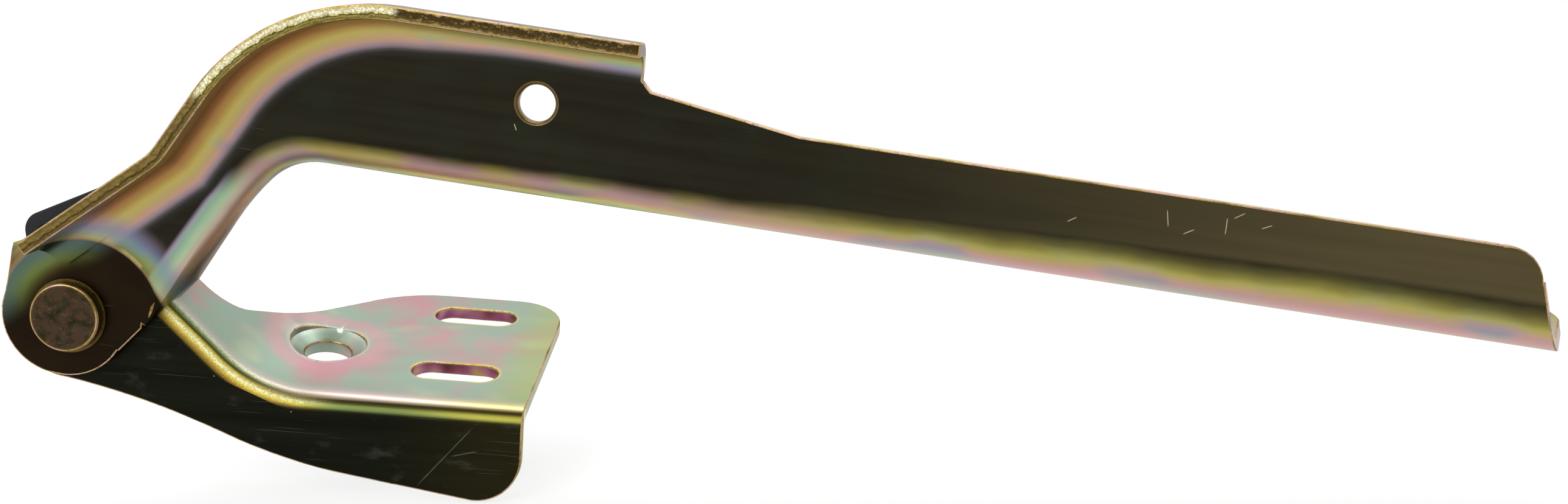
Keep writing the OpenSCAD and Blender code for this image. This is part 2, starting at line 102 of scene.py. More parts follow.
# %% A field of values, and the finish that holds its nodes
class Field:
    """A value that changes over the surface: one output of a node."""

    def __init__(self, finish, socket):
        self.finish = finish
        self.socket = socket

    def sum(self, operation, first, second=0.0, clamp=False):
        sockets = {0: first, 1: second}
        return self.finish.put("ShaderNodeMath", sockets, operation=operation, use_clamp=clamp)

    def __add__(self, other): return self.sum("ADD", self, other)
    def __radd__(self, other): return self.sum("ADD", other, self)
    def __sub__(self, other): return self.sum("SUBTRACT", self, other)
    def __rsub__(self, other): return self.sum("SUBTRACT", other, self)
    def __mul__(self, other): return self.sum("MULTIPLY", self, other)
    def __rmul__(self, other): return self.sum("MULTIPLY", other, self)
    def __truediv__(self, other): return self.sum("DIVIDE", self, other)
    def __rtruediv__(self, other): return self.sum("DIVIDE", other, self)
    def __neg__(self): return self.sum("MULTIPLY", self, -1.0)
    def __abs__(self): return self.sum("ABSOLUTE", self)
    def root(self): return self.sum("SQRT", self.sum("MAXIMUM", self, 0.0))
    def least(self, other): return self.sum("MINIMUM", self, other)
    def most(self, other): return self.sum("MAXIMUM", self, other)


class Finish:
    """A material for one surface, measured in millimetres on the real piece."""

    def __init__(self, name, centre, turn=(0.0, 0.0, 0.0)):
        self.material = bpy.data.materials.new(name)
        self.material.use_nodes = True
        self.tree = self.material.node_tree
        self.shader = self.tree.nodes["Principled BSDF"]
        coordinates = self.put("ShaderNodeTexCoord", {}, output="Object")
        self.spot = self.put("ShaderNodeMapping", {
            "Vector": coordinates, "Location": tuple(centre),
            "Rotation": tuple(math.radians(angle) for angle in turn),
            "Scale": (0.001, 0.001, 0.001)}, vector_type="TEXTURE")
        parts = self.spot.socket
        split = self.tree.nodes.new("ShaderNodeSeparateXYZ")
        self.tree.links.new(parts, split.inputs[0])
        self.along, self.depth, self.rise = (Field(self, out) for out in split.outputs)

    def put(self, kind, sockets, output=0, stops=None, **settings):
        """Adds one node, fills its sockets with values or fields, and gives one output."""
        node = self.tree.nodes.new(kind)
        for name, value in settings.items():
            setattr(node, name, value)
        for name, value in sockets.items():
            if isinstance(value, Field):
                self.tree.links.new(value.socket, node.inputs[name])
            else:
                node.inputs[name].default_value = value
        if stops:
            band = node.color_ramp
            while len(band.elements) < len(stops):
                band.elements.new(0.5)
            for element, (place, colour) in zip(band.elements, stops):
                element.position = place
            for element, (place, colour) in zip(band.elements, stops):
                element.color = seen(*colour)
        return Field(self, node.outputs[output])

    def cloud(self, size, detail=3.0, stretch=(1.0, 1.0, 1.0), seed=0.0, rough=0.55):
        """Soft noise from 0 to 1 whose patches are about size millimetres wide."""
        scale = tuple(1.0 / (size * factor) for factor in stretch)
        moved = self.put("ShaderNodeMapping", {
            "Vector": self.spot, "Location": (seed, seed * 0.7, seed * 1.3), "Scale": scale})
        return self.put("ShaderNodeTexNoise", {
            "Vector": moved, "Scale": 1.0, "Detail": detail, "Roughness": rough})

    def step(self, value, low, high):
        """0 below low, 1 above high, and a smooth rise between."""
        return self.put("ShaderNodeMapRange", {
            "Value": value, "From Min": low, "From Max": high}, interpolation_type="SMOOTHSTEP")

    def bump_at(self, value, centre, width):
        """1 at centre, falling smoothly to 0 at width on both sides."""
        return 1.0 - self.step(abs(value - centre), 0.0, width)

    def band(self, value, stops):
        return self.put("ShaderNodeValToRGB", {0: value}, stops=stops)

    def mix(self, factor, under, over):
        under = seen(*under) if isinstance(under, tuple) else under
        over = seen(*over) if isinstance(over, tuple) else over
        return self.put("ShaderNodeMix", {0: factor, 6: under, 7: over}, output=2, data_type="RGBA")

    def reach(self, x, z, across="rise"):
        """Distance in millimetres from a line through (x, z) across the sheet."""
        side = self.along - x
        other = getattr(self, across) - z
        return (side * side + other * other).root()

    def mark(self, x, z, angle, length, width=0.16):
        """1 on one straight scratch through (x, z), turned by angle degrees."""
        laid = self.put("ShaderNodeMapping", {
            "Vector": self.spot, "Location": (x, 0.0, z),
            "Rotation": (0.0, math.radians(-angle), 0.0)}, vector_type="TEXTURE")
        lengthwise = abs(self.put("ShaderNodeSeparateXYZ", {0: laid}, output=0))
        sideways = abs(self.put("ShaderNodeSeparateXYZ", {0: laid}, output=2))
        inside = 1.0 - self.step(lengthwise, length * 0.3, length * 0.5)
        return inside * (1.0 - self.step(sideways, width * 0.4, width))

    def wear(self, colour, rough, metal=1.0, height=None, lift=0.1):
        """Plugs the finished fields into the shader."""
        for name, value in (("Base Color", colour), ("Roughness", rough), ("Metallic", metal)):
            if isinstance(value, Field):
                self.tree.links.new(value.socket, self.shader.inputs[name])
            else:
                self.shader.inputs[name].default_value = value
        if height is not None:
            relief = self.put("ShaderNodeBump", {
                "Height": height, "Strength": 1.0, "Distance": lift * 0.001}, output="Normal")
            self.tree.links.new(relief.socket, self.shader.inputs["Normal"])
        return self.material


def seen(red, green, blue):
    """A colour as it is seen on the screen, 0 to 255, as the linear values that nodes use."""
    def linear(value):
        value = value / 255.0
        return value / 12.92 if value <= 0.04045 else ((value + 0.055) / 1.055) ** 2.4
    return (linear(red), linear(green), linear(blue), 1.0)


print("helpers ready")

# %% [markdown]
# ## Rolled edges
# A press rolls the edges of sheet steel over a little, and they catch a thin
# line of light. The CAD solids have sharp edges. Each one is copied, its loose
# triangles are joined and flat areas are merged. A bevel modifier could roll
# every crease, but it also picks slivers in the bends, so the outer edges are
# chosen by their angle and only those are bevelled. The round faces take the
# piece's second material, whose colour is a painted highlight for that line
# of light. Weighted normals keep flat sheet flat beside them.


# %% Choose the edges that a shear or a punch left
def choose_outer_edges(mesh, least_angle, least_face):
    """Selects convex edges sharper than least_angle between faces of at least least_face mm2."""
    chosen = 0
    for edge in mesh.edges:
        if len(edge.link_faces) != 2 or not edge.is_convex or edge.calc_length() < 0.00006:
            continue
        if min(face.calc_area() for face in edge.link_faces) * 1e6 < least_face:
            continue
        middle = (edge.verts[0].co + edge.verts[1].co) / 2 - pivot
        by_pad_step = -0.012 < middle.x < 0.016 and 0.0085 < middle.z < 0.0215 and -0.004 < middle.y < 0.0018
        if by_pad_step:
            continue
        if least_angle < math.degrees(edge.calc_face_angle(0.0)) < 150.0:
            edge.select = True
            chosen += 1
    return chosen


# %% Copy a solid and roll its edges
def rolled_copy(node_name, body, edge, least_angle=50.0, least_face=0.15):
    source = frame["nodes"][node_name]
    bpy.ops.object.select_all(action="DESELECT")
    bpy.context.view_layer.objects.active = source
    source.select_set(True)
    bpy.ops.object.duplicate()
    piece = bpy.context.view_layer.objects.active
    piece.name = piece.data.name = node_name + "_pressed"
    piece.data.materials.append(None)
    bpy.ops.object.mode_set(mode="EDIT")
    bpy.ops.mesh.select_all(action="SELECT")
    bpy.ops.mesh.customdata_custom_splitnormals_clear()
    bpy.ops.mesh.remove_doubles(threshold=0.000004)
    bpy.ops.mesh.dissolve_degenerate(threshold=0.000004)
    bpy.ops.mesh.select_all(action="SELECT")
    bpy.ops.mesh.dissolve_limited(angle_limit=math.radians(0.4), delimit={"NORMAL"})
    bpy.ops.mesh.select_all(action="DESELECT")
    bpy.ops.mesh.select_mode(type="EDGE")
    mesh = bmesh.from_edit_mesh(piece.data)
    chosen = choose_outer_edges(mesh, least_angle, least_face)
    mesh.select_flush_mode()
    bmesh.update_edit_mesh(piece.data)
    bpy.ops.mesh.bevel(offset=edge, segments=2, affect="EDGES", clamp_overlap=False, material=1)
    bpy.ops.mesh.select_all(action="DESELECT")
    bpy.ops.object.mode_set(mode="OBJECT")
    bpy.ops.object.shade_smooth_by_angle(angle=math.radians(48))
    even = piece.modifiers.new("flat sheet stays flat", "WEIGHTED_NORMAL")
    even.keep_sharp = True
    even.weight = 80
    bpy.ops.object.modifier_apply(modifier=even.name)
    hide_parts(node_name)
    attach(piece, body)
    print(piece.name, chosen, "edges rolled,", len(piece.data.polygons), "faces")
    return piece


def dress(piece, material, edge=None):
    if not piece.data.materials:
        piece.data.materials.append(material)
    for place in range(len(piece.data.materials)):
        piece.data.materials[place] = edge if edge and place == 1 else material
    print(piece.name, "wears", material.name)


arm = rolled_copy("hinge_arm", "arm", 0.00035)
bracket = rolled_copy("body_bracket", "bracket", 0.00035)
rivet = rolled_copy("pivot_rivet", "bracket", 0.00020, 28.0, 0.02)
strap = rolled_copy("open_stop", "bracket", 0.00035, 50.0, 0.02)

# %% [markdown]
# ## Yellow zinc on the gooseneck arm
# The flat web would mirror the dark room, so its colour is painted nearly
# black, a painted dark reflection. The bends would turn towards the light, so
# their colour is painted bright, a painted reflection tinted with the chromate
# film's colours: gold and olive, then pink, then teal. The bands follow the
# sheet's two outlines, so each band is placed by its distance from an outline,
# in millimetres, and noise drifts it along the sheet as the dip tank did.

# %% Places on the arm
arm_rake = 8.5
plating = Finish("arm_yellow_zinc", pivot, (0.0, arm_rake, 0.0))
along, depth, rise = plating.along, plating.depth, plating.rise
drift = plating.cloud(30.0, 3.0, (1.5, 1.0, 1.0)) - 0.5
blotch = plating.cloud(13.0, 1.5, (1.6, 1.0, 1.0), seed=7.0)
patch = plating.cloud(24.0, 2.0, (1.5, 1.0, 1.0), seed=13.0)
streak = plating.cloud(9.0, 4.0, (9.0, 1.0, 0.35), seed=3.0)
grain = plating.cloud(0.55, 4.0, seed=11.0, rough=0.7)
pad_reach = plating.reach(3.1, 0.0)
on_pad = 1.0 - plating.step(pad_reach, 18.6, 19.6)
print("arm places measured from the pivot, in mm")

# %% Distance in from the crown's outline
over_top = plating.step(along, 71.0, 73.0)
crown_arc = 49.0 - plating.reach(72.0, 34.6)
crown_top = 83.6 - rise
neck_line = (along - 29.14) * 0.875 - (rise - 58.36) * 0.484
tail_line = (along + 4.9) * 0.663 - (rise - 20.4) * 0.749
over_neck = plating.step((along - 72.0) * 0.4848 + (rise - 34.6) * 0.8746, -2.0, 2.0)
rim = crown_arc + (crown_top - crown_arc) * over_top
leg_rim = neck_line.most(tail_line)
rim = leg_rim + (rim - leg_rim) * over_neck
print("crown: top edge, arc, neck and tail")

# %% Distance in from the throat's outline
corner_x = (along - 54.5).least(0.0)
corner_z = (rise - 27.9).most(0.0)
throat_arc = (corner_x * corner_x + corner_z * corner_z).root() - 16.0
throat_leg = (along - 38.0) * -0.87 + (rise - 32.0) * 0.5
over_throat = plating.step(rise, 32.0, 40.0)
gap = throat_leg + (throat_arc - throat_leg) * over_throat
print("throat: leg, corner and the long hood bend")

# %% The dark web, a painted dark reflection
# The web's dark colour is a painted dark reflection of the room, streaked, and olive towards the tip.
web_olive = plating.step(along, 150.0, 330.0)
web_dark_reflection = plating.mix(streak, (20, 19, 17), (46, 42, 31))
web_dark_reflection = plating.mix(plating.step(blotch, 0.45, 0.75) * 0.5, web_dark_reflection, (36, 42, 32))
web_dark_reflection = plating.mix(web_olive * (0.50 + streak * 0.5), web_dark_reflection, (92, 82, 54))
print("web: black-green, olive towards the tip")

# %% The hood bend: left part, tip part and throat leg
# The hood bend's bands are painted light: a bright painted reflection with a painted yellow-green highlight
# line near the outline, going to painted dark reflection towards the web. The film gives the pink, olive and
# teal tints.
wide = 7.0 + plating.step(along, 70.0, 300.0) * 4.2
fine_drift = plating.cloud(11.0, 3.0, (1.8, 1.0, 1.0), seed=16.0) - 0.5
hood_place = gap / wide + drift * 0.34 + fine_drift * 0.22
hood_near = plating.band(hood_place, [
    (0.00, (70, 62, 30)), (0.07, (160, 172, 70)), (0.16, (196, 190, 120)),
    (0.28, (196, 156, 136)), (0.52, (172, 138, 138)), (0.72, (128, 104, 92)),
    (0.88, (62, 54, 40)), (1.00, (30, 28, 22))])
hood_olive = plating.band(hood_place, [
    (0.00, (84, 76, 38)), (0.10, (176, 176, 92)), (0.30, (190, 164, 112)),
    (0.52, (172, 156, 92)), (0.74, (120, 108, 56)), (0.90, (62, 56, 34)), (1.00, (32, 30, 22))])
hood_far = plating.band(hood_place, [
    (0.00, (196, 180, 150)), (0.10, (204, 158, 156)), (0.24, (196, 156, 150)),
    (0.38, (188, 160, 118)), (0.50, (168, 162, 88)), (0.64, (132, 124, 62)),
    (0.82, (86, 80, 44)), (1.00, (48, 44, 30))])
hood_film = plating.band(hood_place, [
    (0.00, (168, 170, 150)), (0.12, (158, 172, 156)), (0.26, (150, 150, 166)),
    (0.40, (168, 146, 152)), (0.54, (164, 160, 100)), (0.76, (96, 94, 54)), (1.00, (40, 38, 28))])
at_corner = plating.bump_at(along, 60.0, 22.0)
hood_film_and_reflection = plating.mix(plating.step(patch + at_corner * 0.3, 0.52, 0.64), hood_near, hood_olive)
hood_film_and_reflection = plating.mix(plating.step(along, 120.0, 190.0), hood_film_and_reflection, hood_far)
hood_film_and_reflection = plating.mix(plating.step(blotch, 0.44, 0.66) * 0.85, hood_film_and_reflection, hood_film)
leg_place = gap / 10.6 + drift * 0.26
leg_film_and_reflection = plating.band(leg_place, [
    (0.00, (104, 84, 56)), (0.10, (186, 160, 132)), (0.24, (200, 176, 160)),
    (0.38, (172, 194, 158)), (0.54, (136, 170, 142)), (0.68, (154, 140, 160)),
    (0.84, (92, 84, 92)), (1.00, (30, 29, 24))])
hood_film_and_reflection = plating.mix(plating.step(rise * -1.0, -42.0, -33.0), hood_film_and_reflection, leg_film_and_reflection)
on_hood = (1.0 - plating.step(gap / wide, 0.92, 1.12)) * (1.0 - on_pad)
print("hood bend: yellow-green line, pink, olive, then dark")

# %% The stiffening flange along the crown
# The crown's bands are painted light: bright painted reflections where the flange turns to the light, fading
# to painted dark reflection at the web, tinted with the film's copper, gold, pink and mauve.
crown_wide = 9.4 - plating.step(along, 40.0, 104.0) * 3.6
crown_place = (rim - 3.0) / crown_wide + drift * 0.18
crown_round = plating.band(crown_place, [
    (0.00, (104, 74, 36)), (0.12, (160, 108, 58)), (0.26, (168, 132, 60)),
    (0.42, (184, 168, 84)), (0.58, (186, 160, 104)), (0.70, (192, 150, 130)),
    (0.82, (146, 126, 136)), (0.92, (70, 64, 64)), (1.00, (30, 28, 23))])
crown_straight = plating.band(crown_place, [
    (0.00, (74, 62, 32)), (0.16, (158, 152, 80)), (0.40, (176, 160, 98)),
    (0.60, (194, 154, 132)), (0.78, (136, 116, 120)), (0.92, (60, 58, 52)), (1.00, (28, 27, 22))])
crown_film = plating.band(crown_place, [
    (0.00, (110, 84, 44)), (0.20, (176, 150, 70)), (0.40, (170, 178, 112)),
    (0.56, (132, 164, 146)), (0.70, (140, 132, 158)), (0.86, (80, 78, 82)), (1.00, (30, 29, 24))])
crown_film_and_reflection = plating.mix(plating.step(along, 56.0, 92.0), crown_round, crown_straight)
right_end = plating.step(along, 108.0, 122.0)
crown_film_and_reflection = plating.mix(
    (plating.step(blotch, 0.56, 0.70) * 0.8).most(right_end * 0.85), crown_film_and_reflection, crown_film)
on_crown = 1.0 - plating.step(rim, crown_wide + 2.0, crown_wide + 4.5)
on_crown = on_crown * (1.0 - plating.step(along, 126.4, 127.4)) * (1.0 - on_pad)
print("crown: copper, gold, pink, mauve, then dark")

# %% [markdown]
# ## Sheared edges
# The shear leaves two zones on a cut edge: a bright burnished band where the
# punch slid, and a rough broken band below it. The crown's cut edge faces the
# viewer and shows both, so it gets its own colours, with coarse grain in the
# broken band and a real dent in the bump. The burnished band is partly the
# steel's own brightness and partly a painted highlight, near white, with
# painted glints in its grain.

# %% Burnish and fracture on the crown's cut edge
ragged = (rim + (plating.cloud(2.6, 5.0, seed=5.0, rough=0.7) - 0.5) * 2.2) / 3.2
chips = plating.step(plating.cloud(0.8, 3.0, (2.0, 1.0, 1.0), seed=19.0), 0.46, 0.62)
# Painted glints: grain spots where the burnish is painted brighter.
burnish_glint = plating.step(grain, 0.44, 0.64)
leg_edge = plating.band(ragged, [
    (0.00, (168, 146, 92)), (0.12, (104, 88, 46)), (0.48, (132, 112, 62)),
    (0.60, (58, 48, 24)), (0.72, (96, 80, 42)), (1.00, (120, 100, 56))])
leg_edge = plating.mix(chips * 0.45, leg_edge, (74, 60, 30))
# The arc's burnished band goes to near white: partly the burnish, partly a painted highlight.
arc_edge = plating.band(ragged, [
    (0.00, (120, 102, 48)), (0.12, (214, 196, 110)), (0.30, (255, 252, 226)),
    (0.54, (244, 234, 168)), (0.62, (44, 37, 18)), (0.74, (132, 122, 60)), (1.00, (92, 84, 40))])
arc_edge = plating.mix((1.0 - burnish_glint) * 0.55, arc_edge, (84, 73, 34))
top_edge = plating.band(ragged, [
    (0.00, (206, 184, 124)), (0.10, (150, 128, 78)), (0.20, (58, 46, 24)),
    (0.74, (74, 60, 32)), (0.84, (150, 128, 76)), (1.00, (84, 70, 36))])
top_edge = plating.mix(chips * burnish_glint * 0.55, top_edge, (158, 136, 88))
broken = plating.bump_at(ragged, 0.60, 0.22)
edge_colour = plating.mix(over_neck, leg_edge, arc_edge)
edge_colour = plating.mix(over_top, edge_colour, top_edge)
on_edge = plating.step(depth * -1.0, 11.6, 11.8)
print("cut edge: gold line, broken brown band")

# %% The pad round the pivot, and the film and painted sheen outside its step
# The pad is painted dark brown, a painted dark reflection like the web's. Towards the upper left, where its
# slope turns to the light, it gets a painted sheen. Its step edge gets a thin painted highlight, and the
# slope outside the step gets a painted sheen tinted with the film's colours.
upper_left_sheen = plating.step(rise - along * 0.9, 7.0, 19.0)
pad_colour = plating.mix(blotch, (22, 18, 14), (42, 31, 18))
pad_sheen = plating.band(pad_reach / 20.0 + drift * 0.3, [
    (0.45, (30, 24, 16)), (0.60, (96, 88, 42)), (0.72, (110, 124, 66)),
    (0.86, (92, 116, 98)), (0.97, (96, 104, 112))])
pad_colour = plating.mix(upper_left_sheen * plating.step(pad_reach, 9.0, 15.0) * 0.85, pad_colour, pad_sheen)
pad_step_highlight = plating.bump_at(pad_reach, 19.4, 0.7)
outside_slope_sheen = plating.bump_at(pad_reach, 22.5, 6.0) * plating.step(rise + along * 0.3, 6.0, 14.0)
film_and_slope_sheen = plating.band(patch + (pad_reach - 22.0) * 0.03, [
    (0.36, (150, 158, 92)), (0.46, (124, 150, 146)), (0.56, (128, 130, 160)), (0.68, (164, 130, 136))])
print("pad: dark brown, tinted at the upper left")

# %% Scratches, then the whole arm
scratch_lane = plating.cloud(1.6, 1.0, (22.0, 1.0, 0.16), seed=31.0)
scratch = plating.step(scratch_lane, 0.745, 0.77) * plating.step(plating.cloud(30.0, seed=4.0), 0.5, 0.6)
marks = plating.mark(226.6, 58.4, 33.0, 2.6)
for x, z, angle, length in ((247.8, 61.9, -77.0, 4.2), (261.1, 62.1, -87.0, 4.2),
                            (263.6, 64.9, 34.0, 3.0), (270.1, 63.3, 26.0, 2.8),
                            (253.0, 59.6, 31.0, 3.0), (98.9, 60.0, -66.0, 1.8)):
    marks = marks.most(plating.mark(x, z, angle, length))
web_dark_reflection = plating.mix(grain * 0.04, web_dark_reflection, (110, 102, 78))
colour = plating.mix(on_hood, web_dark_reflection, hood_film_and_reflection)
sheared = plating.step(depth, 0.12, 0.5) * plating.step(gap, 9.4, 10.4) * (1.0 - on_crown)
shear_colour = plating.mix(plating.step(patch, 0.42, 0.58), (206, 184, 132), (214, 172, 152))
shear_colour = plating.mix(chips * 0.4, shear_colour, (150, 128, 74))
# Inside the hole the cut wall is painted darker: painted shade in the recess.
hole_wall_shade = 1.0 - plating.step(plating.reach(103.0, 66.0), 4.8, 5.4)
shear_colour = plating.mix(hole_wall_shade, shear_colour, (118, 98, 56))
colour = plating.mix(sheared, colour, shear_colour)
colour = plating.mix(on_crown, colour, crown_film_and_reflection)
colour = plating.mix(outside_slope_sheen * 0.8 * (1.0 - on_edge), colour, film_and_slope_sheen)
colour = plating.mix(on_pad, colour, pad_colour)
colour = plating.mix(pad_step_highlight * 0.55, colour, (150, 122, 74))
colour = plating.mix(on_edge, colour, edge_colour)
flat_web = (1.0 - on_edge) * (1.0 - on_crown) * (1.0 - on_hood)
colour = plating.mix(scratch * 0.45 * flat_web, colour, (150, 142, 118))
colour = plating.mix(marks * (0.4 + grain * 0.5), colour, (196, 186, 140))
rough = 0.30 + streak * 0.12 + on_edge * 0.10 + scratch * 0.15
metal = 1.0 - on_crown * (1.0 - on_edge) * 0.55
height = streak * 0.20 + grain * (0.05 + on_edge * 0.7) - broken * on_edge * 0.8 + scratch * 0.15
arm_plate = plating.wear(colour, rough, metal, height, 0.10)

# %% The painted highlight on each rolled edge: a thin line of light
rolled = Finish("rolled_edge_painted_highlight", pivot, (0.0, arm_rake, 0.0))
tint = rolled.cloud(9.0, 3.0, seed=23.0)
nick = rolled.cloud(0.7, 3.0, seed=27.0)
# The edge's colour is a painted highlight, brighter than the sheet beside it.
edge_highlight_colour = rolled.band(tint, [
    (0.32, (120, 98, 52)), (0.48, (176, 150, 92)), (0.60, (190, 154, 134)), (0.74, (120, 124, 78))])
edge_highlight_colour = rolled.mix(rolled.step(nick, 0.52, 0.68) * 0.6, edge_highlight_colour, (84, 66, 36))
# Round the hole the rolled edge is painted darker: painted shade in the recess.
hole_edge_shade = 1.0 - rolled.step(rolled.reach(103.0, 66.0), 5.4, 6.4)
edge_highlight_colour = rolled.mix(hole_edge_shade * 0.85, edge_highlight_colour, rolled.mix(nick, (48, 40, 24), (110, 90, 52)))
edge_highlight_plate = rolled.wear(edge_highlight_colour, 0.32 + nick * 0.2, 1.0, nick, 0.05)
dress(arm, arm_plate, edge_highlight_plate)

# %% [markdown]
# ## Yellow zinc on the body bracket
# The bracket's web is painted dark like the arm's, a painted dark reflection.
# Its bend curves up to the pivot and its plate lies nearly flat, so the plate's
# colour is a painted reflection of the bright ceiling: a pale teal grey with
# pink clouds, and the bend carries a painted highlight. The same depth trick
# works here, measured from the bracket's own front face.

# %% Places on the bracket
bracket_rake = 4.0
seat = Finish("bracket_yellow_zinc", pivot, (0.0, bracket_rake, 0.0))
seat_streak = seat.cloud(7.0, 4.0, (7.0, 1.0, 0.4), seed=2.0)
seat_blotch = seat.cloud(15.0, 2.0, (1.6, 1.0, 1.0), seed=9.0)
seat_cloud = seat.cloud(26.0, 3.0, seed=14.0)
seat_grain = seat.cloud(0.5, 4.0, seed=17.0, rough=0.7)
seat_drift = seat.cloud(24.0, 2.0, (1.8, 1.0, 1.0), seed=6.0) - 0.5
print("bracket places measured from the pivot, in mm")

# %% Web, bend and plate
# The web's dark colour is a painted dark reflection, streaked, olive towards the right.
seat_web_reflection = seat.mix(seat_streak, (12, 13, 10), (33, 34, 24))
seat_web_reflection = seat.mix(seat.step(seat.along, 70.0, 104.0) * 0.40, seat_web_reflection, (50, 44, 22))
# The bend's bands are painted light: painted dark reflection by the web, olive, then a near-white painted
# highlight line, then the plate's painted reflection.
seat_turn = ((seat.depth - 6.0) / 5.0).root() + seat_drift * 0.10
seat_bend_painted_light = seat.band(seat_turn, [
    (0.00, (24, 26, 18)), (0.14, (32, 34, 20)), (0.25, (66, 76, 42)),
    (0.38, (80, 90, 46)), (0.47, (60, 56, 28)), (0.55, (66, 58, 30)),
    (0.66, (236, 222, 208)), (0.82, (214, 188, 188)), (1.00, (176, 168, 158))])
right_bend_painted_light = seat.band(seat_turn, [
    (0.00, (24, 24, 16)), (0.16, (52, 48, 22)), (0.28, (124, 120, 50)), (0.42, (138, 132, 54)),
    (0.50, (64, 56, 26)), (0.58, (80, 70, 34)), (0.68, (238, 224, 150)), (0.84, (214, 208, 120)),
    (1.00, (176, 176, 140))])
seat_bend_painted_light = seat.mix(seat.step(seat.along, 74.0, 102.0) * 0.8, seat_bend_painted_light, right_bend_painted_light)
# The plate's pale colour is a painted reflection of the bright ceiling, in the film's teal and pink.
plate_ceiling_reflection = seat.mix(seat.step(seat_cloud, 0.34, 0.56), (182, 138, 140), (144, 162, 146))
plate_ceiling_reflection = seat.mix(seat.step(seat_blotch, 0.55, 0.72) * 0.6, plate_ceiling_reflection, (170, 178, 150))
plate_ceiling_reflection = seat.mix(seat.step(seat.along, 92.0, 106.0) * 0.55, plate_ceiling_reflection, (156, 168, 84))
print("plate: teal grey with pink clouds")

# %% Slots and dish, measured in the plate's own plane
plate_corner = Vector((-0.0852881, -0.0319660, 0.0024322))
plane_spot = seat.put("ShaderNodeMapping", {
    "Vector": seat.put("ShaderNodeTexCoord", {}, output="Object"),
    "Location": tuple(plate_corner),
    "Rotation": (math.radians(12.0), math.radians(4.0), 0.0),
    "Scale": (0.001, 0.001, 0.001)}, vector_type="TEXTURE")
plane_x = seat.put("ShaderNodeSeparateXYZ", {0: plane_spot}, output=0)
plane_y = seat.put("ShaderNodeSeparateXYZ", {0: plane_spot}, output=1)
plane_z = seat.put("ShaderNodeSeparateXYZ", {0: plane_spot}, output=2)


def slot_reach(x, y):
    """Distance from a slot's middle line, whose straight part is 12.4 mm long."""
    side = (abs(plane_x - x) - 6.2).most(0.0)
    other = plane_y - y
    return (side * side + other * other).root()


slots = slot_reach(86.2, 15.5).least(slot_reach(84.3, 48.5))
slot_rim = 1.0 - seat.step(slots, 4.7, 5.6)
slot_wall = slot_rim * seat.step(plane_z * -1.0, 0.25, 0.6)
dish_x = plane_x - 51.8
dish_y = plane_y - 25.0
dish_reach = (dish_x * dish_x + dish_y * dish_y).root()
dish_rim_highlight = seat.bump_at(dish_reach, 9.3, 1.5)
dish_pink = seat.bump_at(dish_reach, 13.0, 5.0)
print("slots and dish placed on the plate")

# %% The whole bracket
# Near the pivot the bend carries a painted highlight, a glare band up to near white, broken by grain.
near_pivot = (1.0 - seat.step(seat.along, 36.0, 64.0)) * seat.step(seat.depth, 6.02, 6.2)
near_pivot = near_pivot * (1.0 - seat.step(seat.depth, 9.0, 11.5))
painted_glare = seat.band(seat_turn, [
    (0.10, (60, 48, 22)), (0.24, (140, 110, 48)), (0.34, (200, 182, 74)),
    (0.44, (255, 250, 196)), (0.56, (222, 208, 92)), (0.64, (58, 60, 30)),
    (0.72, (140, 166, 116)), (0.86, (206, 214, 188)), (1.00, (170, 176, 160))])
painted_glare = seat.mix((1.0 - seat.step(seat_grain, 0.40, 0.60)) * 0.45, painted_glare, (120, 104, 40))
in_bend = seat.step(seat.depth, 6.03, 6.3)
on_plate = seat.step(seat.depth, 10.0, 13.0)
colour = seat.mix(in_bend, seat_web_reflection, seat_bend_painted_light)
colour = seat.mix(near_pivot, colour, painted_glare)
colour = seat.mix(on_plate, colour, plate_ceiling_reflection)
colour = seat.mix(dish_pink * on_plate * 0.6, colour, (196, 140, 150))
# A painted highlight rings the dish's rim.
colour = seat.mix(dish_rim_highlight * on_plate * 0.35, colour, (206, 212, 204))
wall_tint = seat.cloud(7.0, 1.0, seed=33.0)
wall_colour = seat.band(wall_tint, [
    (0.34, (92, 62, 34)), (0.46, (150, 86, 112)), (0.56, (176, 120, 146)), (0.70, (204, 176, 96))])
# The slots' rims are painted lighter and gold in patches: painted highlights on their rounded rims.
slot_rim_glint = slot_rim * seat.step(seat_blotch + wall_tint * 0.4, 0.55, 0.75)
colour = seat.mix(slot_rim * 0.4 * on_plate, colour, (176, 176, 132))
colour = seat.mix(slot_rim_glint * on_plate, colour, (214, 192, 88))
colour = seat.mix(slot_wall, colour, wall_colour)
seat_lane = seat.cloud(1.5, 1.0, (16.0, 1.0, 0.2), seed=41.0)
seat_scratch = seat.step(seat_lane, 0.70, 0.74) * (1.0 - in_bend)
colour = seat.mix(seat_scratch * 0.22, colour, (96, 98, 88))
long_mark = seat.mark(88.7, -28.6, 50.0, 22.0, 0.18) * (seat_streak * 0.55)
short_mark = seat.mark(93.3, -27.6, 15.0, 7.0, 0.24) * (seat_streak * 0.6)
smudge = seat.step(seat.cloud(5.0, 4.0, (2.0, 1.0, 1.0), seed=51.0), 0.56, 0.74) * 0.09
web_marks = long_mark.most(short_mark).most(smudge) * (1.0 - in_bend)
colour = seat.mix(web_marks, colour, (128, 130, 116))
rough = 0.28 + seat_streak * 0.14 + slot_wall * 0.15
height = seat_streak * 0.2 + seat_grain * (0.12 + near_pivot * 0.6) + seat_scratch * 0.1
dress(bracket, seat.wear(colour, rough, 1.0, height, 0.10), edge_highlight_plate)

# %% [markdown]
# ## Rivet, bush, washer and strap
# The rivet's head is the same plate, darker and mottled all over, with painted
# glints on its wall. The bush is plain bronze, the washer plain turned steel,
# and the strap is satin black paint with a faint orange-peel.

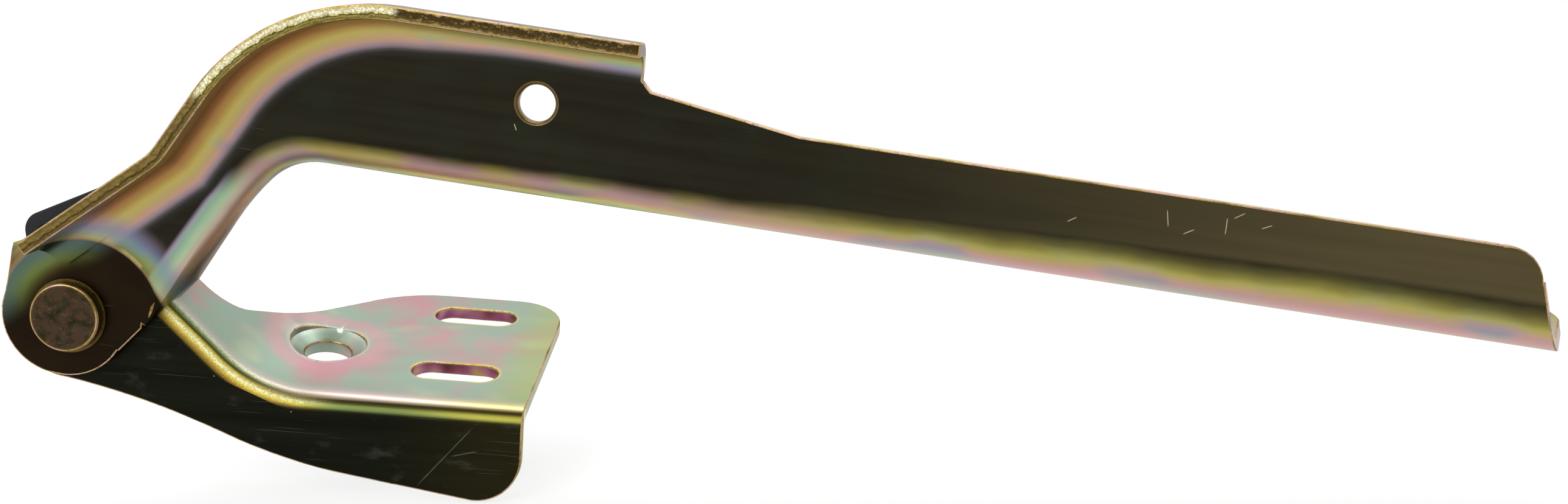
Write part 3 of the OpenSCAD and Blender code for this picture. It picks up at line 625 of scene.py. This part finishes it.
# %% The rivet
head = Finish("rivet_dark_zinc", pivot, (0.0, arm_rake, 0.0))
head_reach = head.reach(0.0, 0.0)
mottle = head.cloud(3.2, 4.0, seed=5.0)
fleck = head.cloud(0.7, 3.0, seed=8.0)
face = head.band(mottle, [
    (0.30, (34, 31, 21)), (0.45, (54, 48, 33)), (0.56, (74, 54, 42)), (0.70, (50, 60, 40))])
face = head.mix(head.step(fleck, 0.58, 0.72) * 0.3, face, (112, 100, 70))
# The head's wall is painted with glints: bright flecks of painted highlight on dark.
wall = head.step(head_reach, 7.0, 7.7)
face = head.mix(wall, face, head.mix(fleck, (40, 33, 18), (110, 90, 50)))
dress(rivet, head.wear(face, 0.34 + mottle * 0.2, 1.0, mottle * 0.5 + fleck * 0.4, 0.12), edge_highlight_plate)

# %% The bronze bush
sleeve = Finish("bush_plain_bronze", pivot, (0.0, arm_rake, 0.0))
turned = sleeve.cloud(0.8, 3.0, (1.0, 0.2, 1.0), seed=4.0)
bronze = sleeve.mix(turned, (58, 46, 24), (124, 102, 54))
bush_material = sleeve.wear(bronze, 0.28 + turned * 0.2, 1.0, turned, 0.04)
dress(frame["nodes"]["pivot_bush"], bush_material)

# %% The friction washer
shim = Finish("washer_turned_steel", pivot, (0.0, bracket_rake, 0.0))
rings = shim.put("ShaderNodeTexNoise", {
    "Vector": shim.spot, "Scale": 1.4, "Detail": 2.0, "Roughness": 0.5})
steel = shim.mix(rings, (104, 104, 106), (160, 160, 162))
washer_material = shim.wear(steel, 0.3 + rings * 0.2, 1.0, rings, 0.03)
dress(frame["nodes"]["friction_washer"], washer_material)

# %% The black strap
paint = Finish("strap_satin_black", pivot, (0.0, 0.0, 0.0))
peel = paint.cloud(1.1, 2.0, seed=3.0)
dust = paint.cloud(12.0, 3.0, seed=6.0)
black = paint.mix(dust, (14, 14, 17), (30, 31, 37))
paint.shader.inputs["Specular IOR Level"].default_value = 0.25
strap_material = paint.wear(black, 0.38 + peel * 0.14, 0.0, peel, 0.05)
dress(strap, strap_material)

# %% [markdown]
# ## Floor, light and background
# The hinge stands in a plain white studio. Big soft lamps add real lines of
# light on the bends, over the highlights painted into their colours. The floor
# catches the shadow, and the camera, metal and glass see the background as
# plain white, which costs the object no light.

# %% The floor
bpy.ops.object.select_all(action="DESELECT")
floor_height = cad_box[0][2] - 0.0004
bpy.ops.mesh.primitive_plane_add(size=16.0, location=(0.0, 0.0, floor_height))
floor = bpy.context.view_layer.objects.active
floor.name = "studio_floor"
bpy.ops.object.transform_apply(location=True)
ground = Finish("floor_white", pivot)
ray = ground.tree.nodes.new("ShaderNodeLightPath")
white_rays = Field(ground, ray.outputs["Is Camera Ray"]).most(
    Field(ground, ray.outputs["Is Glossy Ray"])).most(
    Field(ground, ray.outputs["Is Transmission Ray"]))
away = ground.reach(90.0, 0.0, across="depth")
share = white_rays * (0.80 + ground.step(away, 260.0, 900.0) * 0.2)
dust_tint = ground.mix(ground.cloud(300.0), (243, 243, 243), (247, 247, 247))
ground.wear(dust_tint, 0.9, 0.0)
glow = ground.put("ShaderNodeEmission", {"Color": (1.0, 1.0, 1.0, 1.0), "Strength": 1.0})
blend = ground.put("ShaderNodeMixShader", {
    0: share, 1: Field(ground, ground.shader.outputs[0]), 2: glow})
ground.tree.links.new(blend.socket, ground.tree.nodes["Material Output"].inputs["Surface"])
dress(floor, ground.material)

# %% The room's light
world = bpy.data.worlds.new("studio")
bpy.context.scene.world = world
world.use_nodes = True
room = world.node_tree
backdrop = room.nodes["Background"]
backdrop.inputs["Color"].default_value = (1.0, 1.0, 1.0, 1.0)
path = room.nodes.new("ShaderNodeLightPath")
level = None
for name in ("Is Camera Ray", "Is Glossy Ray", "Is Transmission Ray"):
    if level is None:
        level = path.outputs[name]
        continue
    most = room.nodes.new("ShaderNodeMath")
    most.operation = "MAXIMUM"
    room.links.new(level, most.inputs[0])
    room.links.new(path.outputs[name], most.inputs[1])
    level = most.outputs[0]
strength = room.nodes.new("ShaderNodeMapRange")
strength.inputs["To Min"].default_value = 0.7
strength.inputs["To Max"].default_value = 1.0
room.links.new(level, strength.inputs["Value"])
room.links.new(strength.outputs[0], backdrop.inputs["Strength"])
print("white room, 0.7 of it as soft light")


# %% Two soft lamps
def soft_lamp(name, place, aim, size, power):
    lamp_data = bpy.data.lights.new(name, "AREA")
    lamp_data.shape = "RECTANGLE"
    lamp_data.size, lamp_data.size_y = size
    lamp_data.energy = power
    lamp = bpy.data.objects.new(name, lamp_data)
    bpy.context.scene.collection.objects.link(lamp)
    facing = (Vector(aim) - Vector(place)).to_track_quat("-Z", "Y")
    lamp.matrix_world = Matrix.Translation(place) @ facing.to_matrix().to_4x4()
    print(name, power, "W")


middle = (Vector(cad_box[0]) + Vector(cad_box[1])) / 2
soft_lamp("ceiling_panel", (0.05, 0.25, 0.85), middle, (0.9, 0.35), 5.0)
soft_lamp("front_panel", (-0.35, -0.75, 0.55), middle, (0.5, 0.4), 4.0)
